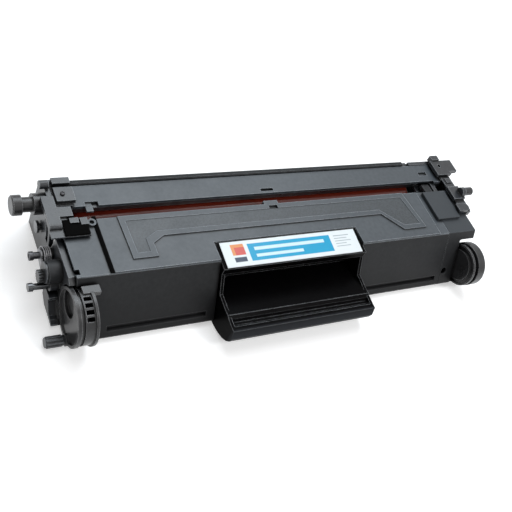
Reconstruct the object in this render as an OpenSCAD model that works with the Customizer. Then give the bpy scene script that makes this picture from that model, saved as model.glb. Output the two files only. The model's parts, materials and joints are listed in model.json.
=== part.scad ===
// Toner cartridge of a small laser printer: a toner hopper with a grip at the front, and a
// drum and waste unit hinged behind it. X runs along the drum, Y from the grip to the rear,
// and Z up. The origin lies on the flat underside of the hopper, below the front edge of the
// top panel and at the middle of the paper's path.

/* [Body] */
// Width that the developer sleeve covers, a little more than the widest paper
print_w = 226; // [222:1:230]
// Depth of the top panel, front edge to drum slot
panel_depth = 35.3; // [34.8:0.1:35.6]
// Height of the top panel over the drum
head_room = 10; // [9.6:0.1:11]
// Height of the drum over the floor
drum_lift = 3.5; // [3:0.1:4]
// How far the front face runs forward down to its toe
front_run = 18.5; // [16:0.5:20]
// Radius of the toe where the front face meets the floor
toe_r = 4; // [2:0.5:5]
// Wall of the moulded housings
wall = 2; // [1.6:0.1:2.4]
// Length of the body beyond the toner chamber at the left
left_pocket = 10; // [9:0.5:12]
// Length of the recess for the right cap
right_pocket = 12.3; // [11:0.1:14]
// Drop of the two outer ends of the top panel
end_drop = 0.6; // [0.3:0.1:1]
// Height of the raised frame on the top panel
frame_h = 0.8; // [0.4:0.1:1]
// How far the raised frame stays inside the paper's width
frame_margin = 14; // [10:0.5:18]
// Width of the frame's crossbar along the slot
frame_bar = 15; // [12:0.5:16]
// Width of the drum slot
slot_w = 9.2; // [8.8:0.1:9.6]
// Depth of the bar behind the slot
bar_depth = 14.5; // [14:0.1:15]
// Height of the dark groove low on the front face
groove_h = 3; // [2:0.25:4]
// Depth of the groove
groove_depth = 2.8; // [2:0.1:4]

/* [Grip] */
// Width of the grip pocket outside
grip_w = 100; // [90:1:110]
// Wall of the grip moulding
grip_wall = 2; // [1.6:0.1:2.4]
// Depth of the label shelf, front to rear
shelf_depth = 18; // [16:0.5:19]
// Fall of the label shelf over its depth
shelf_fall = 2; // [1:0.25:3]
// Reach of the grip's lip in front of the panel edge
lip_reach = 37.8; // [34:0.5:40]
// Height of the lip's top edge
lip_z = 18.5; // [17.5:0.25:19]
// Bare margin beside the label
label_margin = 2.5; // [1:0.5:6]
// Thickness of the label
label_t = 0.25; // [0.15:0.05:0.4]

/* [Drum] */
// Radius of the photosensitive drum
drum_r = 12; // [11.8:0.05:12.1]
// Wall of the drum's aluminium tube
drum_wall = 0.8; // [0.6:0.1:1]
// How much longer the drum is than the developer sleeve
drum_over = 14; // [12:0.5:16]
// Distance of the drum axis behind the slot's front edge
drum_back = 14.7; // [14.6:0.05:15]
// Radius of the steel pin that carries the drum's left end
drum_pin_r = 2; // [1.8:0.1:2.4]
// Radius of the drum's right journal
journal_r = 6; // [5.5:0.1:6.5]

/* [Rollers] */
// Radius of the developer sleeve
sleeve_r = 6.9; // [6.7:0.05:6.95]
// Gap between developer sleeve and drum
nip_gap = 0.3; // [0.2:0.05:0.5]
// Direction from the drum axis to the developer axis
developer_dir = 186; // [184:0.5:188]
// Radius of the magnet core in the sleeve
magnet_r = 5.6; // [5:0.1:5.8]
// Radius of the charge roller
charge_r = 4.5; // [4.2:0.1:4.6]
// Direction from the drum axis to the charge roller
charge_dir = 50; // [48:0.5:52]
// How much shorter the charge roller's rubber is than the sleeve
charge_short = 2; // [1:0.5:6]

/* [Gears] */
// Direction from the developer axis to the agitator axis
agitator_dir = 171; // [169:0.5:173]
// Width of the gears
gear_w = 7; // [6:0.5:8]
// Thinning of each tooth for free running
backlash = 0.06; // [0.04:0.01:0.1]

/* [Ends] */
// Radius of the round cap at the left front corner
left_cap_r = 16.3; // [15.5:0.1:17]
// Radius of the round cap at the right front corner
right_cap_r = 14.8; // [14:0.1:15.5]
// Height of the caps' centre
cap_z = 18.1; // [17.9:0.1:18.4]
// Room between the left cap and the agitator's pin
cap_room = 3.76; // [3:0.05:5]
// How far the right cap's centre lies in front of the left cap's
cap_lead = 2.8; // [0:0.1:3.5]
// Distance of the hinge in front of the drum axis
hinge_fore = 10; // [9.8:0.1:10.2]
// Depth of the hinge below the top panel
hinge_drop = 4.5; // [4.2:0.1:4.8]
// Radius of the hinge pins
hinge_r = 1.6; // [1.4:0.1:1.8]
// Radius of the left guide pin's head
guide_r = 5.6; // [5:0.1:6.2]
// Reach of the left guide pin beyond its bracket
guide_len = 18; // [16:0.5:20]
// Radius of the right guide pin
right_guide_r = 2.9; // [2.5:0.1:3.2]
// Reach of the right guide pin
right_guide_len = 6.4; // [5:0.1:9]

/* [Fits] */
// Clearance of a turning shaft in its bore
run_fit = 0.05; // [0.03:0.01:0.08]
// Clearance of a pressed or glued piece
seat_fit = 0.02; // [0.01:0.01:0.04]
// Gap where two mouldings meet
part_gap = 0.3; // [0.2:0.05:0.4]

/* [Hidden] */
$fn = 64;

// Lengths along the drum
paper_w = print_w + 4;
sleeve_len = print_w;
charge_len = print_w - charge_short;
drum_len = print_w + drum_over;
drum_x1 = drum_len / 2;
drum_x0 = -drum_x1;
ch_r = drum_x1 + 1 + wall;
ch_l = -ch_r;
hop_l = ch_l - left_pocket;
gear_x0 = ch_r + 2.5;
gear_x1 = gear_x0 + gear_w;
web_x = gear_x1 + 0.6;
web_t = wall - 0.4;
cap_x = web_x + web_t;
hop_r = cap_x + right_pocket;
plate_l0 = hop_l - 3;
plate_l1 = hop_l - 0.4;
plate_r0 = gear_x1 + 1.5;
plate_r1 = plate_r0 + 3;
arm_x0 = hop_r + 0.8;
arm_x1 = arm_x0 + 3;
grip_x = grip_w / 2;
label_w = grip_w - 2 * label_margin;

// Heights and depths of the housings
dy = panel_depth + drum_back;
dz = drum_lift + drum_r;
panel_z = dz + drum_r + head_room;
seam_z = panel_z - wall;
low_panel_z = panel_z - end_drop;
strip_z = low_panel_z - 0.5;
toe_y = -front_run;
rear_y = panel_depth;
bar_y0 = rear_y + slot_w;
bar_y1 = bar_y0 + bar_depth;
bar_t = 1.8;
bar_z = panel_z - bar_t;
roof_z = bar_z - bar_t;
deck_z = panel_z + 1.5;
pad_z = panel_z + 4;
hinge_y = dy - hinge_fore;
hinge_z = panel_z - hinge_drop;
foot_y = dy + 16;
tray_y = dy + drum_r + 1.2;
tray_back = tray_y + 12.8;
wiper_y = tray_y + 4.4;

// Axes of the rollers and gears
drum_teeth = 30;
developer_teeth = 18;
agitator_teeth = 34;
nip = drum_r + sleeve_r + nip_gap;
gear_m = 2 * nip / (drum_teeth + developer_teeth);
vy = dy + nip * cos(developer_dir);
vz = dz + nip * sin(developer_dir);
gear_c = gear_m * (developer_teeth + agitator_teeth) / 2;
gy = vy + gear_c * cos(agitator_dir);
gz = vz + gear_c * sin(agitator_dir);
charge_gap = 0.1;
charge_c = drum_r + charge_r + charge_gap;
cy = dy + charge_c * cos(charge_dir);
cz = dz + charge_c * sin(charge_dir);
developer_phase = developer_dir + 180 + drum_teeth / developer_teeth * developer_dir
  + 180 / developer_teeth;
agitator_phase = agitator_dir + 180 + 180 / agitator_teeth
  + developer_teeth / agitator_teeth * (agitator_dir - developer_phase);
shaft_r = 3.2;
ring_w = 3.5;
mag_shaft_r = 2.5;
mag_tip_r = 2;
agi_pin_r = 1.8;
agi_shaft_r = 3;
charge_shaft_r = 2;
journal_hole_r = 7.5;

// Filler neck, contact lever and guide pins at the ends
cap_y = left_cap_r + agi_pin_r + cap_room - gy;
right_cap_y = cap_y + cap_lead;
neck_y = gy + 2.64;
neck_z = gz + 8.25;
neck_r = 6.3;
neck_bore = 4.9;
neck_x = hop_l - 10.5;
floor_end = vy - 6.9;
lever_y = vy - 3.9;
lever_z = vz + 7.5;
lever_x = hop_l - 10;
lever_r = 1.25;
guide_y = dy + 2;
guide_z = hinge_z;
right_guide_y = dy - 21.4;
right_guide_z = panel_z + 5.3;
pin_pad_y = -cap_y - 5;
pin_pad_z = cap_z - 13.8;
blade_y = vy - 7.3;
blade_t = 1.5;

// The grip's pocket and label shelf
pocket_back = gy - agi_shaft_r - grip_wall - 2.36;
pocket_top = panel_z - 6.5;
shelf_back = pocket_back + 9;
shelf_front = shelf_back - shelf_depth;
// Top of the label shelf at a distance behind the panel's front edge
function shelf_z(y) = panel_z - shelf_fall * (shelf_back - y) / shelf_depth;

// A slab along X with its outline drawn in Y and Z
module along_x(x0, x1) {
  translate([x0, 0, 0]) rotate([90, 0, 90]) linear_extrude(x1 - x0) children();
}

// A rod along X
module rod(x0, x1, y, z, r) {
  translate([x0, y, z]) rotate([0, 90, 0]) cylinder(h = x1 - x0, r = r);
}

// A plain box between two corners
module block(x0, x1, y0, y1, z0, z1) {
  translate([x0, y0, z0]) cube([x1 - x0, y1 - y0, z1 - z0]);
}

// Where the front face lies at a height, set back by a wall
function face_y(z, back) = toe_y * (panel_z - z) / (panel_z - toe_r) + back;
function arc(y, z, r, a0, a1, n) =
  [for (i = [0 : n]) [y + r * cos(a0 + (a1 - a0) * i / n), z + r * sin(a0 + (a1 - a0) * i / n)]];

// Involute spur gear outline with one tooth centred on the given angle
function involute(r, base) = sqrt(pow(r / base, 2) - 1) * 180 / PI - acos(base / r);
function half_tooth(teeth, r, base, pitch) = 90 / teeth - backlash * 90 / (PI * pitch)
  + involute(pitch, base) - involute(max(r, base), base);
module gear_outline(teeth, phase) {
  pitch = gear_m * teeth / 2;
  base = pitch * cos(20);
  tip = pitch + gear_m;
  root = pitch - 1.2 * gear_m;
  steps = 4;
  flank = concat([root], [for (k = [0 : steps]) base + (tip - base) * pow(k / steps, 1.6)]);
  n = len(flank) - 1;
  polygon([for (i = [0 : teeth - 1]) let (c = phase + 360 * i / teeth)
    for (k = [0 : 2 * n + 1])
      let (r = k <= n ? flank[k] : flank[2 * n + 1 - k])
      let (h = half_tooth(teeth, r, base, pitch))
      let (a = k <= n ? c - h : c + h)
      [r * cos(a), r * sin(a)]]);
}
module gear(teeth, phase, y, z, x0, x1) {
  along_x(x0, x1) translate([y, z]) gear_outline(teeth, phase);
}

// Toe of a front wall, outside or set in by a wall
function toe(back, n) =
  arc(toe_y + toe_r + back / 2, toe_r + back / 2, toe_r - back / 2, 180, 270, n);

// Outer section of the hopper below the lid
module hopper_section() {
  polygon(concat([[face_y(strip_z, 0), strip_z]], toe(0, 6),
    [[floor_end, 0], [vy, vz - sleeve_r - 4.5], [vy + 5.7, vz - sleeve_r - 3],
     [vy + 4.8, vz - sleeve_r - 1.4], [rear_y, dz + 8.5], [rear_y, seam_z],
     [face_y(seam_z, wall), seam_z], [face_y(strip_z, wall), strip_z]]));
}
// Hollow of the toner chamber and of the developer bay, open towards the drum
module hopper_hollow() {
  polygon(concat([[face_y(strip_z + 1, wall), strip_z + 1]], toe(wall, 4),
    [[floor_end, wall], [vy, vz - sleeve_r - 2.7], [vy + 4.8, vz - sleeve_r - 1.5],
     [rear_y + 5, vz - sleeve_r - 1.5], [rear_y + 5, strip_z + 1]]));
}

module arch_cut(x0, x1, r) {
  rod(x0, x1, -cap_y, cap_z, r);
}

// Hinge ear behind the drum slot's front edge
module hinge_ear(x0, x1, root_y) {
  along_x(x0, x1) polygon([[root_y, seam_z], [root_y, hinge_z - 7],
    [hinge_y - 3, hinge_z - 4], [hinge_y + 2, hinge_z - 4], [hinge_y + 3.4, hinge_z - 1.5],
    [hinge_y + 3.4, seam_z - 0.5], [rear_y, seam_z]]);
}

module hopper_shell() {
  groove_z = toe_r + 2.6;
  rib_step = 18;
  color("#2b2d30") difference() {
    union() {
      along_x(hop_l, ch_r) difference() {
        hopper_section();
        hopper_hollow();
      }
      for (x = [ch_l, ch_r - wall]) along_x(x, x + wall) hopper_section();
      rod(neck_x, ch_l + wall, neck_y, neck_z, neck_r);
      block(hop_l, ch_l + wall, rear_y - 5.3, rear_y, hinge_z - 2, seam_z);
      hinge_ear(hop_l, hop_l + 5, rear_y - 5.3);
      // backing of the groove
      for (span = [[ch_l, -grip_x - wall], [grip_x + wall, ch_r]])
        along_x(span[0], span[1]) polygon([for (p = [[-2, 1], [-2, groove_depth + wall],
          [groove_h + 2, groove_depth + wall], [groove_h + 2, 1]])
            [face_y(groove_z + p[0], p[1]), groove_z + p[0]]]);
      // guide ribs for the paper under the chin
      for (x = [-print_w / 2 + 4 : rib_step : print_w / 2 - 4]) along_x(x, x + 1.5)
        polygon([[floor_end, 0], [vy + 4.5, 0.6], [vy + 5.7, vz - sleeve_r - 3.2],
          [floor_end, 1]]);
    }
    block(-grip_x - part_gap, grip_x + part_gap, toe_y - 12, toe_y + toe_r, -1, panel_z);
    block(-grip_x - part_gap, grip_x + part_gap, toe_y + toe_r - 1, pocket_back + 3, wall,
      panel_z);
    arch_cut(hop_l - 1, ch_l - 2.5, left_cap_r + 0.4 + part_gap);
    rod(neck_x - 1, ch_l + wall + 1, neck_y, neck_z, neck_bore);
    rod(ch_l - 1, ch_l + wall + 1, gy, gz, agi_pin_r + seat_fit);
    rod(ch_r - wall - 1, ch_r + 1, gy, gz, agi_shaft_r + run_fit);
    rod(ch_l - 1, ch_l + wall + 1, vy, vz, mag_shaft_r + seat_fit);
    rod(ch_r - wall - 1, ch_r + 1, vy, vz, shaft_r + run_fit);
    rod(hop_l - 1, hop_l + 6, hinge_y, hinge_z, hinge_r + seat_fit);
    for (span = [[-paper_w / 2 - 0.5, -grip_x - 6], [grip_x + 6, paper_w / 2 + 4]])
      along_x(span[0], span[1]) polygon([for (p = [[0, -2], [0, groove_depth],
        [groove_h, groove_depth], [groove_h, -2]])
          [face_y(groove_z + p[0], p[1]), groove_z + p[0]]]);
  }
}

// Plan of the raised frame, as an upturned U with slanted legs
module frame_plan(inset, y_rear) {
  half = paper_w / 2 - frame_margin;
  bar = rear_y - frame_bar - 0.5;
  polygon([[-half + inset, y_rear], [-half + 0.5 + inset, 6.5 + inset],
    [-half + 15 - inset, 6.5 + inset], [-half + 15 - inset, bar - 4.5 + inset],
    [-half + 22.5 - inset, bar + inset], [half - 26, bar + inset],
    [half - 14 + inset / 2, 6 + inset], [half + 4.5 - inset, 6 + inset],
    [half + 0.5 - inset, y_rear]]);
}

module hopper_lid() {
  eye_x = hop_l + 17;
  eye_y = rear_y - 2.4;
  inner_l = ch_l + wall + part_gap;
  color("#3a4048") difference() {
    union() {
      difference() {
        along_x(hop_l, ch_r) polygon([[0, panel_z], [face_y(strip_z, 0), strip_z],
          [face_y(strip_z, wall + part_gap), strip_z],
          [face_y(seam_z, wall + part_gap), seam_z], [rear_y, seam_z], [rear_y, panel_z]]);
        for (x = [hop_l - 1, paper_w / 2])
          block(x, x + ch_r - paper_w / 2 + left_pocket + 1, -1, rear_y + 1, low_panel_z,
            panel_z + 1);
      }
      // rib that carries the doctor blade
      along_x(inner_l, -inner_l) polygon([[blade_y - 1.6, seam_z], [blade_y - 1.6, vz + 12],
        [blade_y, vz + 12], [blade_y, seam_z]]);
      // front wall of the drum slot
      along_x(inner_l, -inner_l) polygon([[rear_y - wall, seam_z],
        [rear_y - wall, seam_z - 5.5], [rear_y, seam_z - 5.5], [rear_y, seam_z]]);
      translate([0, 0, panel_z]) linear_extrude(frame_h) frame_plan(0, rear_y);
      // bridging clip in the middle of the slot
      block(-6.7, 3, rear_y - 1, rear_y + 2.5, seam_z - 3, panel_z + 0.8);
      translate([eye_x, eye_y, seam_z]) cylinder(h = wall + 0.8, r = 2.4);
    }
    translate([0, 0, panel_z + frame_h - 0.3]) linear_extrude(1) frame_plan(3.5, rear_y - 3.5);
    block(-grip_x - part_gap, grip_x + part_gap, -5, shelf_back + part_gap, seam_z - 1,
      panel_z + 1);
    block(-4.5, 1.5, rear_y - 3.5, rear_y - 1.2, panel_z - 0.8, panel_z + 2);
    translate([eye_x, eye_y, panel_z - 1]) cylinder(h = 3, r = 1.3);
    // notch in the left front corner
    along_x(hop_l - 1, hop_l + 2.3) polygon([[1.2, panel_z + 1], [1.2, seam_z + 0.6],
      [4.6, seam_z - 1], [4.6, panel_z + 1]]);
  }
}

module handle_scoop() {
  lip = -lip_reach;
  w = grip_wall;
  toe_end = toe_y + toe_r - part_gap;
  bow = toe_end - lip;
  nose_z = lip_z - 5.5;
  front = [for (a = [0 : 15 : 90]) [lip + bow * (1 - cos(a)), nose_z * (1 - sin(a))]];
  front_in = [for (a = [90 : -15 : 0])
    [lip + w + (bow - w) * (1 - cos(a)), w + (nose_z - w) * (1 - sin(a))]];
  outside = concat([[shelf_back, panel_z], [shelf_front, shelf_z(shelf_front)],
    [shelf_front, pocket_top], [pocket_back - 1.8, pocket_top - 1.2],
    [pocket_back, pocket_top - 3.5], [pocket_back, lip_z + 1], [pocket_back - 1.8, lip_z - 0.9],
    [pocket_back - 15, lip_z - 0.3], [lip + 11.8, lip_z + 1.3], [lip + 9.6, lip_z + 0.1],
    [lip + 8.2, lip_z - 1.3], [lip + 6.2, lip_z - 1.3], [lip + 4.8, lip_z],
    [lip + 1.6, lip_z]], front);
  inside = concat(front_in, [[lip + 2.8, lip_z - w - 0.2], [lip + 4.2, lip_z - w],
    [lip + 5.8, lip_z - 1.3 - w], [lip + 8.8, lip_z - 1.3 - w], [lip + 10.6, lip_z + 0.3 - w],
    [lip + 12.2, lip_z + 1.2 - w], [pocket_back - 15, lip_z - 0.3 - w],
    [pocket_back - 1, lip_z - 0.9 - w], [pocket_back + w, lip_z + 0.1],
    [pocket_back + w, pocket_top - 2.7], [pocket_back - 0.8, pocket_top + 0.7],
    [shelf_front + w, pocket_top + w - 0.2], [shelf_front + w, shelf_z(shelf_front + w) - w],
    [shelf_back, panel_z - w]]);
  cheek = concat([[shelf_back, panel_z], [shelf_front, shelf_z(shelf_front)],
    [shelf_front, pocket_top], [shelf_front - 6.5, lip_z + 2], [lip + 4.8, lip_z],
    [lip + 1.6, lip_z]], front, [[toe_end, w], [pocket_back + w, nose_z + 1],
    [pocket_back + w, pocket_top], [shelf_back, panel_z - w]]);
  color("#17181a") {
    along_x(-grip_x, grip_x) polygon(concat(outside, inside));
    for (x = [-grip_x, grip_x - w]) along_x(x, x + w) polygon(cheek);
  }
}

module handle_label() {
  y0 = shelf_front + 0.7;
  y1 = shelf_back - 1;
  color("#e8f4f8") along_x(-label_w / 2, label_w / 2) polygon([[y0, shelf_z(y0)],
    [y0, shelf_z(y0) + label_t], [y1, shelf_z(y1) + label_t], [y1, shelf_z(y1)]]);
}

module left_end_cover() {
  x0 = hop_l - 3.5;
  pan_x = hop_l - 9;
  boss_r = 3.4;
  color("#1e2023") difference() {
    union() {
      along_x(x0, hop_l) polygon([[face_y(32, 1.5), 32], [face_y(8, 1.5), 8], [-8, 2],
        [floor_end + 2, 2], [rear_y - 3.3, 8], [rear_y - 3.3, 20], [rear_y - 6, 24],
        [rear_y - 8, seam_z - 1.5], [2, seam_z - 1]]);
      rod(x0 - 5, x0, gy, gz, agi_pin_r + 1.4);
      rod(lever_x + 1, x0, lever_y, lever_z, boss_r);
      // pan behind the left cap
      difference() {
        along_x(pan_x, x0) polygon([[-9, 2], [8, 2], [13.5, 5], [14.5, 11], [11, 12.8],
          [3, 12.8]]);
        along_x(pan_x - 1, x0 - 1) polygon([[-9, 3.4], [7.5, 3.4], [12.3, 6], [13, 10.4],
          [10.4, 11.4], [3, 11.4]]);
      }
      difference() {
        along_x(pan_x, x0) polygon([[-9, 2], [8, 2], [13.5, 5], [14.5, 11], [11, 12.8],
          [3, 12.8]]);
        arch_cut(pan_x - 1, x0 + 1, left_cap_r + 2.2);
      }
    }
    rod(x0 - 6, hop_l + 1, gy, gz, agi_pin_r + seat_fit);
    rod(lever_x, hop_l + 1, lever_y, lever_z, lever_r + seat_fit);
    rod(x0 - 6, hop_l + 1, neck_y, neck_z, neck_r + seat_fit);
    rod(x0 - 1, hop_l + 1, vy, vz, mag_shaft_r + seat_fit);
    arch_cut(pan_x - 1, hop_l + 1, left_cap_r + 0.4 + part_gap);
  }
}

module right_end_cover() {
  x0 = ch_r + part_gap;
  top = low_panel_z;
  w = web_t;
  lower_y = rear_y - 3.3;
  ledge_y = shelf_back - 1.5;
  face = [[lower_y - 1, 1.5], [rear_y - 1.8, 5], [rear_y - 1.8, 23], [rear_y - 1, 24],
    [rear_y - 1, top - 1]];
  color("#2b2d30") difference() {
    union() {
      along_x(x0, hop_r) difference() {
        polygon(concat([[face_y(top, 0), top]], toe(0, 6), [[floor_end, 0], [lower_y, 1],
          [rear_y - 1.3, 4.5], [rear_y, 24], [rear_y, top]]));
        polygon(concat([[face_y(top - w, w), top - w]], toe(w, 4), [[floor_end, w],
          [lower_y - 1, w + 1], [rear_y - 2.3, 4.4], [rear_y + 1, 4.4], [rear_y + 1, 24],
          [rear_y - w, 24], [rear_y - w, top - w]]));
      }
      // web that closes off the gears
      along_x(web_x, cap_x) polygon(concat([[face_y(top - 1, 1), top - 1]],
        toe(1, 6), [[floor_end, 0.5]], face));
      along_x(hop_r - w, hop_r) polygon(concat([[face_y(top - 1, 1), top - 1],
        [face_y(toe_r, 1), toe_r], [-12, 0.5], [floor_end, 0.5]], face));
      // raised ledge, overhanging the lid a little
      block(x0 + 0.7, cap_x + 3.8, ledge_y, rear_y - 1.5, top - 0.5, top + 2.1);
      block(ch_r - 4, x0 + 0.8, ledge_y, rear_y - 1.5, top + part_gap, top + 2.1);
      hinge_ear(x0 + 3, x0 + 9, rear_y - 2);
    }
    rod(cap_x, hop_r + 1, -right_cap_y, cap_z, right_cap_r + 2.7);
    rod(x0 + 2, x0 + 10, hinge_y, hinge_z, hinge_r + seat_fit);
    // round window low on the front face
    translate([x0 + 2.9, face_y(dz - 3.5, 0) - 2, dz - 3.5]) rotate([-90, 0, 0])
      cylinder(h = 4.4, r = 2.3);
  }
}

module left_round_cap() {
  x0 = hop_l - 4.2;
  x1 = ch_l - 3;
  rim_x = x0 + 2.2;
  band_x = rim_x + 2;
  band_end = x1 - 1.5;
  r = left_cap_r;
  slots = 4;
  slot_step = 13.5;
  color("#26282b") difference() {
    union() {
      rod(x0, rim_x, -cap_y, cap_z, r);
      rod(rim_x - 0.1, band_x + 0.1, -cap_y, cap_z, r - 1.8);
      rod(band_x, band_end + 0.1, -cap_y, cap_z, r - 0.6);
      rod(band_end, x1, -cap_y, cap_z, r + 0.4);
      rod(x0 - 0.8, x0 + 1.2, pin_pad_y, pin_pad_z, 3.5);
      // hook over the top of the strip
      block(band_end - 4, x1 + 4, -cap_y + 2.8, -cap_y + 7.3, cap_z + 13.2, cap_z + r);
      rod(x0 + 3.1, ch_l, -cap_y + 6, cap_z - 2, 3);
    }
    difference() {
      rod(x0 - 1, x0 + 0.8, -cap_y, cap_z, r - 1.8);
      rod(x0 - 2, x0 + 2, pin_pad_y, pin_pad_z, 3.5);
    }
    // hollow with three webs
    difference() {
      rod(x0 + 3, x1 - 1, -cap_y, cap_z, r - 3.4);
      along_x(x0 + 2, x1) for (a = [0, 180, 300]) translate([-cap_y, cap_z]) rotate(a)
        translate([0, -0.8]) square([r - 2, 1.6]);
      rod(x0 + 2, x1, -cap_y + 6, cap_z - 2, 3);
    }
    rod(x0 - 1, x0 + 2.9, -cap_y + 4.9, cap_z + 4.9, 7.6);
    // slots of the ladder strip
    for (i = [0 : slots - 1]) translate([0, -cap_y, cap_z]) rotate([90 + i * slot_step, 0, 0])
      block(band_x + 0.8, band_end - 0.6, r - 5, r + 2, -1.2, 1.2);
  }
}

module right_round_cap() {
  hub_y = -right_cap_y - 1;
  hub_z = cap_z + 0.7;
  hub_r = 9.8;
  x1 = hop_r - 1.5;
  knurls = 14;
  color("#26282b") {
    rod(cap_x, x1, -right_cap_y, cap_z, right_cap_r - 4);
    difference() {
      rod(cap_x + 0.8, cap_x + 2.4, -right_cap_y, cap_z, right_cap_r - 0.4);
      rod(cap_x, cap_x + 1.4, -right_cap_y, cap_z, right_cap_r - 1.6);
    }
    rod(cap_x + 5, x1, -right_cap_y, cap_z, right_cap_r);
    rod(x1 - 0.01, x1 + 1.5, hub_y, hub_z, hub_r);
    for (i = [0 : knurls - 1]) translate([0, hub_y, hub_z]) rotate([i * 360 / knurls, 0, 0])
      block(x1 + 1, x1 + 3, hub_r - 3, hub_r - 0.2, -0.9, 0.9);
    rod(x1 + 1, x1 + 3.6, hub_y, hub_z, hub_r - 3.8);
  }
}

module fill_plug() {
  knob_y = neck_y + 0.2;
  knob_z = neck_z - 3.2;
  knob_x = neck_x - 4;
  teeth = 14;
  color("#55585c") {
    rod(neck_x, ch_l - 2, neck_y, neck_z, neck_bore - seat_fit);
    rod(neck_x - 1.2, neck_x, neck_y, neck_z, neck_r - 0.5);
    rod(knob_x, neck_x - 1.2, knob_y, knob_z, 3.1);
    for (i = [0 : teeth - 1]) translate([0, knob_y, knob_z]) rotate([i * 360 / teeth, 0, 0])
      block(knob_x, neck_x - 1.2, 2.8, 3.6, -0.35, 0.35);
  }
}

module agitator_pin() {
  x0 = hop_l - 19.5;
  color("silver") {
    rod(x0 + 2.5, ch_l + wall + 6, gy, gz, agi_pin_r);
    rod(x0, x0 + 2.5, gy, gz, agi_pin_r + 0.6);
  }
}

module magnet_core() {
  x = sleeve_len / 2;
  color("#6b6257") {
    rod(-x + 5, x - 5, vy, vz, magnet_r);
    rod(ch_l - 5, -x + 5, vy, vz, mag_shaft_r);
    rod(x - 5, x + 1, vy, vz, mag_tip_r);
  }
}

module blade_bracket() {
  x = sleeve_len / 2 + 2;
  foot = 7.4;
  color("#b8bcc0") difference() {
    along_x(-x, x) polygon([[blade_y, vz + 8.5], [blade_y + blade_t, vz + 8.5],
      [blade_y + blade_t, seam_z - 3], [blade_y + foot, seam_z - 3],
      [blade_y + foot, seam_z - 1.5], [blade_y, seam_z - 1.5]]);
    for (s = [-1, 1]) translate([s * (x - 5), blade_y + 4.9, seam_z - 6])
      cylinder(h = 6, r = 1.5);
  }
}

module doctor_blade() {
  x = sleeve_len / 2 - ring_w - 0.5;
  front = blade_y + blade_t;
  rear = front + 1;
  tip_z = vz + sqrt(pow(sleeve_r + 0.15, 2) - pow(vy - rear, 2));
  color("#5a4636") along_x(-x, x)
    polygon([[front, tip_z], [rear, tip_z], [rear, seam_z - 4.5], [front, seam_z - 4.5]]);
}

module contact_lever() {
  tip_y = lever_y - 11.4;
  tip_z = lever_z - 6.4;
  color("#8d8f92") difference() {
    union() {
      rod(lever_x, lever_x + 1, lever_y, lever_z, 3.6);
      along_x(lever_x, lever_x + 1) polygon([[lever_y, lever_z + 3.5], [lever_y, lever_z - 3],
        [tip_y + 0.9, tip_z - 1], [tip_y - 1, tip_z + 1]]);
      rod(lever_x, lever_x + 1, tip_y, tip_z, 1.6);
    }
    rod(lever_x - 1, lever_x + 2, lever_y, lever_z, lever_r + seat_fit);
  }
}

module lever_screw() {
  cross = [3.2, 0.7];
  color("#3c3e42") difference() {
    union() {
      rod(lever_x, hop_l - 0.5, lever_y, lever_z, lever_r);
      rod(lever_x - 3.5, lever_x, lever_y, lever_z, 1.9);
      rod(lever_x - 5.5, lever_x - 3.4, lever_y, lever_z, 2.5);
    }
    for (a = [0, 90]) translate([lever_x - 6, lever_y, lever_z]) rotate([a, 0, 0])
      translate([0, -cross[0] / 2, -cross[1] / 2]) cube([1.6, cross[0], cross[1]]);
  }
}

// Ribbed pin that stands low on the face of the left cap
module locating_pin() {
  x1 = hop_l - 5;
  ribs = 10;
  color("#26282b") {
    rod(x1 - 10.5, x1, pin_pad_y, pin_pad_z, 2.8);
    for (i = [0 : ribs - 1]) translate([0, pin_pad_y, pin_pad_z])
      rotate([i * 360 / ribs, 0, 0]) block(x1 - 9.7, x1 - 1.5, 2.5, 3.2, -0.4, 0.4);
  }
}

module hinge_pins() {
  color("silver") {
    rod(plate_l0 - 1.5, hop_l + 5, hinge_y, hinge_z, hinge_r);
    rod(ch_r + part_gap + 3, plate_r1 + 1.5, hinge_y, hinge_z, hinge_r);
  }
}

module developer_sleeve() {
  x = sleeve_len / 2;
  color("#3b3d40") {
    difference() {
      rod(-x, x, vy, vz, sleeve_r);
      rod(-x + 4, x - 4, vy, vz, sleeve_r - 0.7);
      rod(-x - 1, -x + 5, vy, vz, mag_shaft_r + run_fit);
      rod(x - 5, x + 2, vy, vz, mag_tip_r + run_fit);
    }
    difference() {
      rod(x, gear_x1, vy, vz, shaft_r);
      rod(x - 1, x + 2, vy, vz, mag_tip_r + run_fit);
    }
  }
}

module developer_gear() {
  color("#d8d6cf") difference() {
    gear(developer_teeth, developer_phase, vy, vz, gear_x0, gear_x1);
    rod(gear_x0 - 1, gear_x1 + 1, vy, vz, shaft_r + seat_fit);
  }
}

module gap_rings() {
  x = sleeve_len / 2;
  color("#d8d6cf") for (x0 = [-x, x - ring_w]) difference() {
    rod(x0, x0 + ring_w, vy, vz, sleeve_r + nip_gap - 0.05);
    rod(x0 - 1, x0 + ring_w + 1, vy, vz, sleeve_r + seat_fit);
  }
}

module agitator_frame() {
  x0 = ch_l + wall + 1;
  x1 = ch_r - wall - 1;
  inner = grip_x + 5;
  bay = 26;
  color("#c9c5ba") difference() {
    union() {
      rod(x0, x1, gy, gz, agi_shaft_r);
      rod(x1, gear_x1, gy, gz, agi_shaft_r);
      for (span = [[x0 + 4, -inner], [inner, x1 - 4]]) {
        block(span[0], span[1], gy - 11.5, gy - 9, gz - 1, gz + 1);
        for (x = [span[0] : bay : span[1] - 3])
          block(x, x + 2.5, gy - 10, gy, gz - 1, gz + 1);
        block(span[1] - 2.5, span[1], gy - 10, gy, gz - 1, gz + 1);
      }
    }
    rod(x0 - 1, ch_l + wall + 7, gy, gz, agi_pin_r + run_fit);
  }
}

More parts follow.
